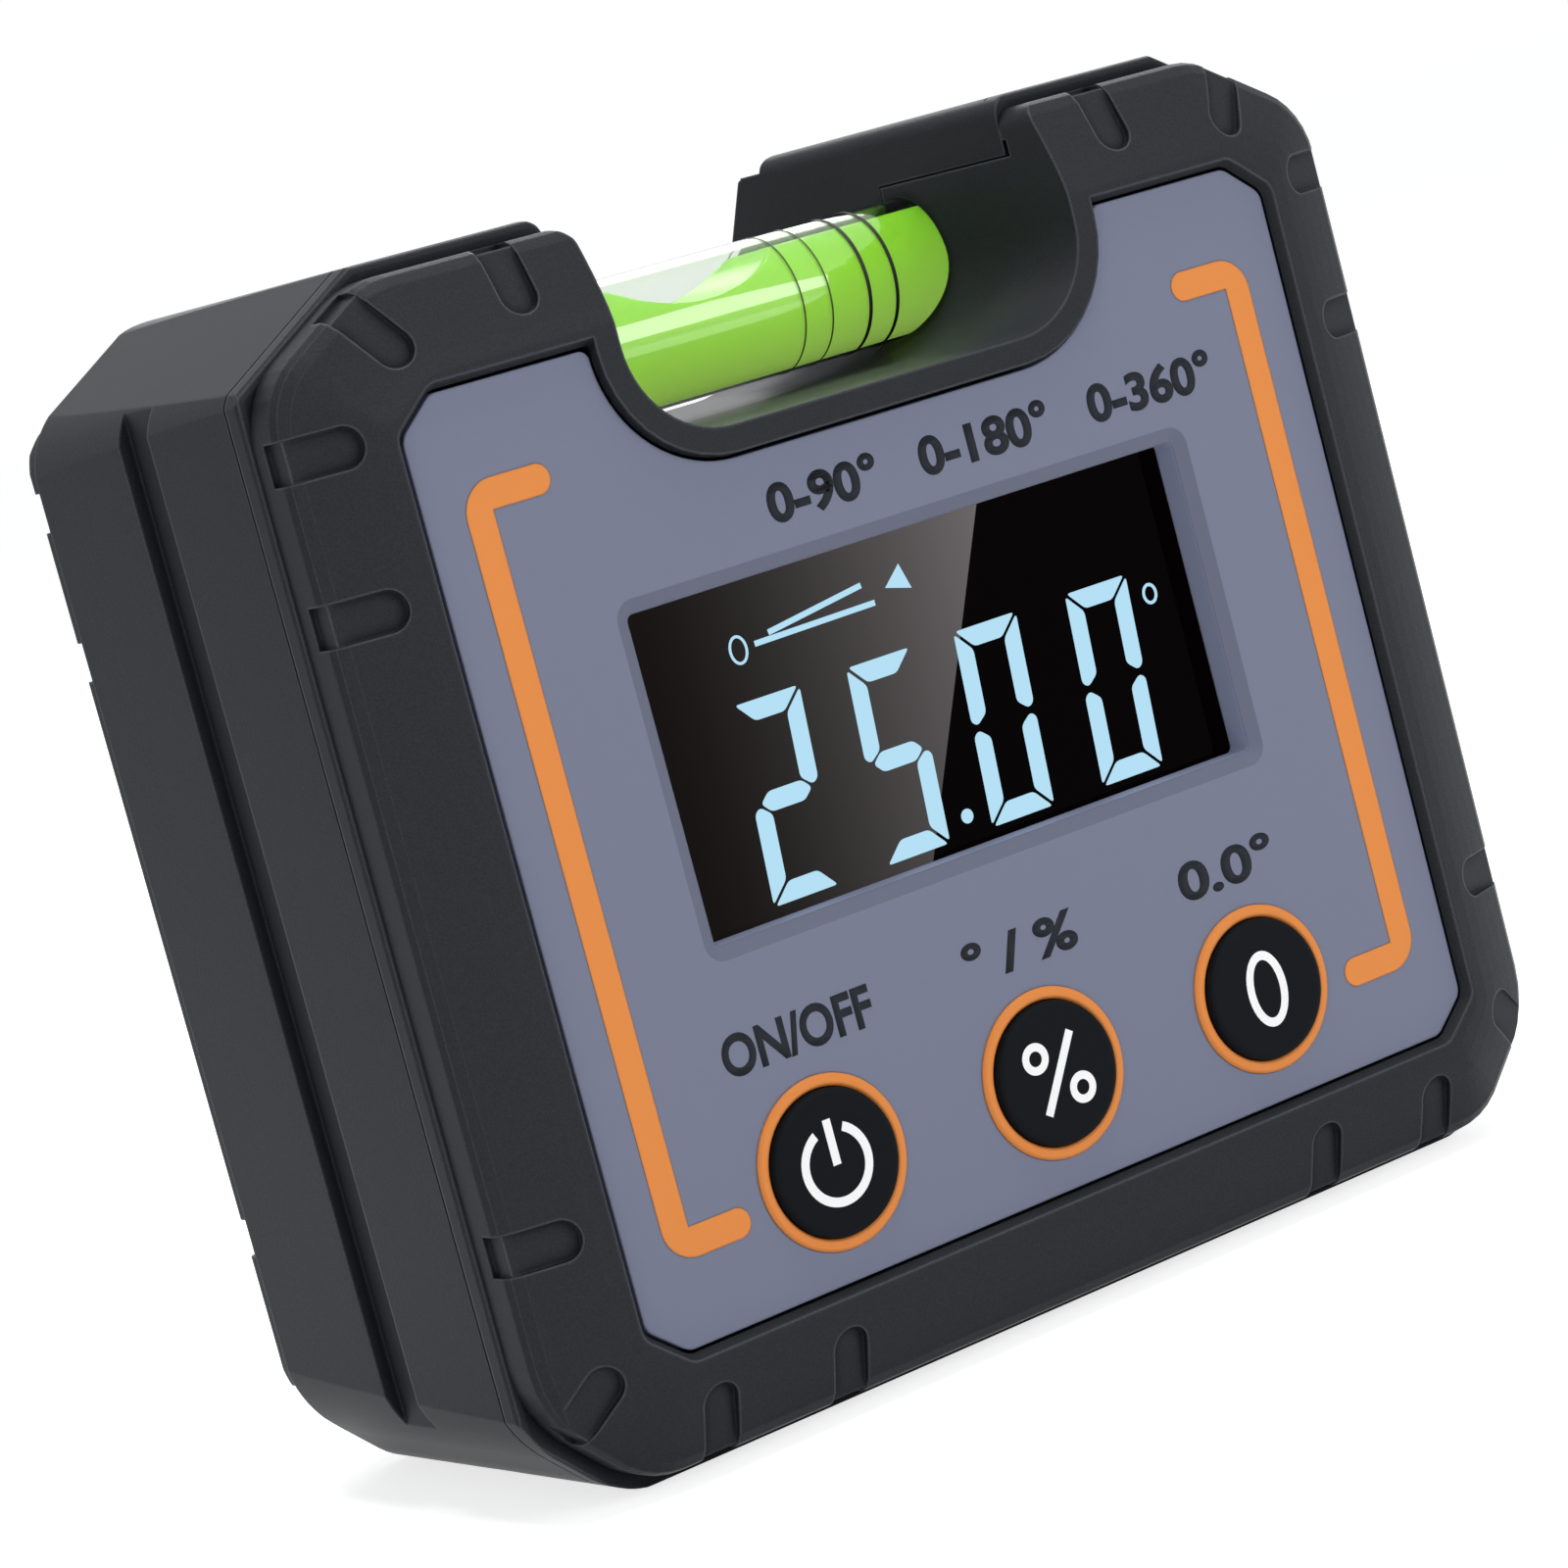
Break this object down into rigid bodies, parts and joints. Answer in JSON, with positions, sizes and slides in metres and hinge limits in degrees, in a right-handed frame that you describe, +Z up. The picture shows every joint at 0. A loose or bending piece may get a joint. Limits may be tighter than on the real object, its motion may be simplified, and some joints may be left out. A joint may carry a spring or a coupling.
{
  "type": "digital angle gauge",
  "caption": "Pocket digital angle gauge: dark ribbed housing, blue-grey face, display window, orange-ringed buttons, green bubble vial in a top notch, grooved magnetic base",
  "frame": {"origin": "centre of the housing in width and depth, on the plane of the base", "axes": "+X to the right seen from the front, +Y from the front to the rear, +Z up"},
  "size_m": [0.0742, 0.0346, 0.0679],
  "materials": {
    "dark_plastic": "fine grained",
    "panel_plastic": "satin",
    "orange_plastic": "satin",
    "display_glass": "polished",
    "black_plastic": "satin",
    "diffuser_plastic": "satin",
    "board_laminate": "semi-gloss",
    "cap_plastic": "satin",
    "vial_acrylic": "polished clear",
    "vial_liquid": "clear",
    "mark_print": "print",
    "cell_jacket": "printed film",
    "spring_steel": "nickel plated",
    "magnet_nickel": "nickel plated",
    "screw_steel": "zinc plated"
  },
  "bodies": {
    "housing": {"front_bezel": "dark_plastic", "rear_shell": "dark_plastic", "face_panel": "panel_plastic", "left_bracket": "orange_plastic", "right_bracket": "orange_plastic", "display_lens": "display_glass", "display_module": "black_plastic", "backlight": "diffuser_plastic", "circuit_board": "board_laminate", "tilt_sensor": "black_plastic", "controller_chip": "black_plastic", "power_ring": "orange_plastic", "mode_ring": "orange_plastic", "hold_ring": "orange_plastic", "tact_switches": "black_plastic", "vial_tube": "vial_acrylic", "vial_liquid": "vial_liquid", "vial_bold_marks": "mark_print", "vial_fine_marks": "mark_print", "upper_cell": "cell_jacket", "lower_cell": "cell_jacket", "cell_contacts": "spring_steel", "base_magnets": "magnet_nickel", "case_screws": "screw_steel"},
    "power_key": {"power_button": "cap_plastic"},
    "mode_key": {"mode_button": "cap_plastic"},
    "hold_key": {"hold_button": "cap_plastic"},
    "door": {"battery_door": "dark_plastic"}
  },
  "joints": [
    {"name": "power_press", "type": "slide", "parent": "housing", "child": "power_key", "axis": [0, 1, 0], "range_m": [0, 0.0004], "stiffness_N_per_m": 400},
    {"name": "mode_press", "type": "slide", "parent": "housing", "child": "mode_key", "axis": [0, 1, 0], "range_m": [0, 0.0004], "stiffness_N_per_m": 400},
    {"name": "hold_press", "type": "slide", "parent": "housing", "child": "hold_key", "axis": [0, 1, 0], "range_m": [0, 0.0004], "stiffness_N_per_m": 400},
    {"name": "door_hinge", "type": "hinge", "parent": "housing", "child": "door", "pos_m": [0, 0.0163, 0.0111], "axis": [-1, 0, 0], "range_deg": [0, 100]}
  ]
}
